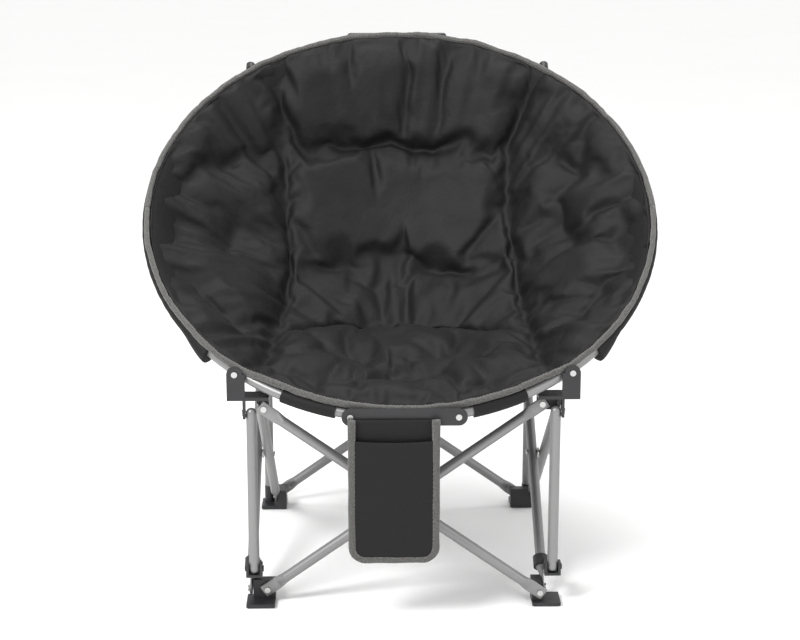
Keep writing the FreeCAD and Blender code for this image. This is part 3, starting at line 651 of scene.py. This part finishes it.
class CHAIR_OT_pocket(bpy.types.Operator):
    """Make the hanging pocket: its back, its bulged front and the tape round its edge"""
    bl_idname = "chair.pocket"
    bl_label = "Pocket"

    def ply(self, name, low, high, cloth, bulge, sag, seed):
        """A cloth layer with two faces, a slack bulge and a hem that sags."""
        columns, rows = 30, 44
        thick = 0.0016
        points = []
        for layer in (0, 1):
            for i in range(columns + 1):
                for j in range(rows + 1):
                    s, t = i / columns, j / rows
                    across = 4 * s * (1 - s)
                    x = low[0] + (high[0] - low[0]) * s
                    z = low[2] + (high[2] - low[2]) * t - sag * across * t ** 6
                    corner = 0.024
                    drop = max(0.0, corner - (z - low[2]))
                    pull = corner - math.sqrt(max(0.0, corner * corner - drop * drop))
                    x += pull * (1 - 2 * s)
                    crumple = noise.noise(Vector((x * 26, z * 20, seed))) * 0.0011
                    out = bulge * across ** 0.7 * math.sin(math.pi * (0.12 + 0.72 * t)) + crumple * across
                    y = (low[1] + high[1]) / 2 - out + (thick / 2 if layer else -thick / 2)
                    points.append((x, y, z))
        count = (columns + 1) * (rows + 1)
        faces = []
        for i in range(columns):
            for j in range(rows):
                k = i * (rows + 1) + j
                quad = (k, k + 1, k + rows + 2, k + rows + 1)
                faces.append(tuple(reversed(quad)))
                faces.append(tuple(count + q for q in quad))
        edge = [i * (rows + 1) for i in range(columns + 1)]
        edge += [columns * (rows + 1) + j for j in range(1, rows + 1)]
        edge += [i * (rows + 1) + rows for i in range(columns - 1, -1, -1)]
        edge += [j for j in range(rows - 1, 0, -1)]
        for p, q in zip(edge, edge[1:] + edge[:1]):
            faces.append((p, q, count + q, count + p))
        made = mesh_piece(name, points, faces, cloth)
        mesh = bmesh.new()
        mesh.from_mesh(made.data)
        bmesh.ops.recalc_face_normals(mesh, faces=mesh.faces)
        mesh.to_mesh(made.data)
        mesh.free()
        return made

    def execute(self, context):
        trim = context.scene.chair_trim
        cloth = cover_cloth()
        tape = tape_cloth()
        for layer, bulge, sag in (("back", 0.0, 0.0), ("front", 0.0022, 0.003)):
            low, high = [Vector(c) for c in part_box("pocket_" + layer)]
            seam = trim.tape_width * 0.45
            low += Vector((seam, 0, seam))
            high -= Vector((seam, 0, 0))
            piece = self.ply("pocket_%s_cloth" % layer, low, high, cloth, bulge, sag, 2.0 + bulge)
            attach(piece, "front_connector")
            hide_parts("pocket_" + layer)
        back_low, back_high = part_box("pocket_back")
        front_low, front_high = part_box("pocket_front")
        middle_y = (back_high[1] + front_low[1]) / 2
        half_deep = (back_high[1] - front_low[1]) / 2
        half = trim.tape_width / 2
        left, right = back_low[0] + half, back_high[0] - half
        top, bottom = back_high[2], back_low[2] + half
        corner = 0.020
        path = []
        for k in range(30):
            path.append((left, top - (top - bottom - corner) * k / 29, 1, 0))
        for k in range(1, 12):
            turn = math.pi / 2 * k / 12
            path.append((left + corner * (1 - math.cos(turn)), bottom + corner * (1 - math.sin(turn)),
                         math.cos(turn), math.sin(turn)))
        for k in range(20):
            path.append((left + corner + (right - left - 2 * corner) * k / 19, bottom, 0, 1))
        for k in range(1, 12):
            turn = math.pi / 2 * k / 12
            path.append((right - corner * (1 - math.sin(turn)), bottom + corner * (1 - math.cos(turn)),
                         -math.sin(turn), math.cos(turn)))
        for k in range(30):
            path.append((right, bottom + corner + (top - bottom - corner) * k / 29, -1, 0))
        run, spots = [], []
        for k, (x, z, ix, iz) in enumerate(path):
            inward = np.array([ix, 0.0, iz])
            wide = half * (1.0 + 0.12 * ripple(8, k, 5.0))
            deep = half_deep + 0.0010 + 0.0006 * ripple(9, k, 4.0)
            section = []
            for j in range(16):
                turn = 2 * math.pi * j / 16
                c, s = math.cos(turn), math.sin(turn)
                section.append((wide * math.copysign(abs(c) ** 0.55, c), deep * math.copysign(abs(s) ** 0.8, s)))
            centre = np.array([x, middle_y, z]) + inward * 0.0004 * ripple(10, k, 6.0)
            run.append((centre, inward, np.array([0.0, 1.0, 0.0]), section))
            if 0 < k < len(path) - 1:
                spots.append((centre + inward * wide * 0.72 - np.array([0.0, deep * 0.84, 0.0]),
                              np.array([iz, 0.0, -ix]), np.array([0.0, -1.0, 0.0])))
        edge = sweep("pocket_edge_tape", run, tape)
        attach(edge, "front_connector")
        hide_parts("pocket_tape")
        row = stitch_row("pocket_stitches", spots, spun_thread())
        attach(row, "front_connector")
        return {"FINISHED"}


class CHAIR_OT_hard_parts(bpy.types.Operator):
    """Give the tubes, the moulded fittings, the rivets and the sleeves their finishes"""
    bl_idname = "chair.hard_parts"
    bl_label = "Tubes, fittings and rivets"

    def execute(self, context):
        metal = context.scene.chair_metal
        finishes = {
            "coated_tube": finish_once("powder_coated_steel_tube", powder_coated_steel, tuple(metal.tube_colour)),
            "black_plastic": finish_once("moulded_black_nylon", moulded_nylon, tuple(metal.plastic_colour)),
            "rivet_steel": finish_once("zinc_plated_rivet", plated_steel, tuple(metal.rivet_colour)),
            "black_fabric": cover_cloth(),
            "padded_cover": cover_cloth(),
            "grey_binding": tape_cloth(),
        }
        slots = {entry["node"]: entry["material_slot"] for entry in frame["record"]["subparts"]}
        for name, piece in frame["nodes"].items():
            piece.data.materials.clear()
            piece.data.materials.append(finishes[slots[name]])
        return {"FINISHED"}


class CHAIR_OT_stage(bpy.types.Operator):
    """Set the pale floor, the soft light and the camera"""
    bl_idname = "chair.stage"
    bl_label = "Stage"

    def lamp(self, name, place, aim, size, power):
        data = bpy.data.lights.new(name, "AREA")
        data.shape = "DISK"
        data.size = size
        data.energy = power
        made = bpy.data.objects.new(name, data)
        made.location = place
        made.rotation_euler = (Vector(aim) - Vector(place)).to_track_quat("-Z", "Y").to_euler()
        bpy.context.scene.collection.objects.link(made)

    def execute(self, context):
        scene = context.scene
        stage = scene.chair_stage
        wide = 80.0
        points = [(-wide, -wide, 0), (wide, -wide, 0), (wide, wide, 0), (-wide, wide, 0)]
        floor = mesh_piece("studio_floor", points, [(0, 1, 2, 3)], limewashed_floor("matt_white_floor"), False)
        world = bpy.data.worlds.new("studio_air")
        world.use_nodes = True
        sky = world.node_tree.nodes["Background"]
        sky.inputs["Color"].default_value = linear("ffffff")
        sky.inputs["Strength"].default_value = 1.0
        scene.world = world
        scene.view_settings.view_transform = "Standard"
        self.lamp("key", (-1.6, -1.9, 2.6), (0, 0, 0.45), 1.0, 82)
        self.lamp("fill", (2.2, -1.6, 1.5), (0, 0, 0.5), 1.8, 14)
        self.lamp("top", (0.2, 0.3, 2.9), (0, 0, 0.4), 1.4, 34)
        data = bpy.data.cameras.new("photo_camera")
        data.lens = stage.lens
        data.sensor_width = 36.0
        data.sensor_fit = "HORIZONTAL"
        camera = bpy.data.objects.new("photo_camera", data)
        foot_low, foot_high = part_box("front_left_foot")
        front_line = foot_low[1] + 0.016
        camera.location = (-stage.distance * math.sin(stage.turn),
                           front_line - stage.distance * math.cos(stage.turn), stage.height)
        camera.rotation_euler = (math.pi / 2 - stage.pitch, 0.0, stage.swing - stage.turn)
        scene.collection.objects.link(camera)
        scene.camera = camera
        return {"FINISHED"}


class CHAIR_PT_panel(bpy.types.Panel):
    """Lists the steps that dress the chair"""
    bl_idname = "CHAIR_PT_panel"
    bl_label = "Folding chair"
    bl_space_type = "VIEW_3D"
    bl_region_type = "UI"
    bl_category = "Chair"

    def draw(self, context):
        for step in STEPS:
            self.layout.operator(step.bl_idname)
        for group in ("chair_cover", "chair_trim", "chair_metal", "chair_stage"):
            settings = getattr(context.scene, group)
            box = self.layout.box()
            for key in settings.__annotations__:
                box.prop(settings, key)


STEPS = (CHAIR_OT_hard_parts, CHAIR_OT_cover, CHAIR_OT_rim, CHAIR_OT_pocket, CHAIR_OT_stage)
GROUPS = {"chair_cover": CoverSettings, "chair_trim": TrimSettings, "chair_metal": MetalSettings,
          "chair_stage": StageSettings}


def register():
    for group in GROUPS.values():
        bpy.utils.register_class(group)
    for key, group in GROUPS.items():
        setattr(bpy.types.Scene, key, bpy.props.PointerProperty(type=group))
    for step in STEPS:
        bpy.utils.register_class(step)
    bpy.utils.register_class(CHAIR_PT_panel)


def unregister():
    bpy.utils.unregister_class(CHAIR_PT_panel)
    for step in reversed(STEPS):
        bpy.utils.unregister_class(step)
    for key, group in GROUPS.items():
        delattr(bpy.types.Scene, key)
        bpy.utils.unregister_class(group)


def main():
    register()
    bpy.ops.chair.hard_parts()
    bpy.ops.chair.cover()
    bpy.ops.chair.rim()
    bpy.ops.chair.pocket()
    bpy.ops.chair.stage()
    bpy.context.view_layer.update()


if __name__ == "__main__":
    main()
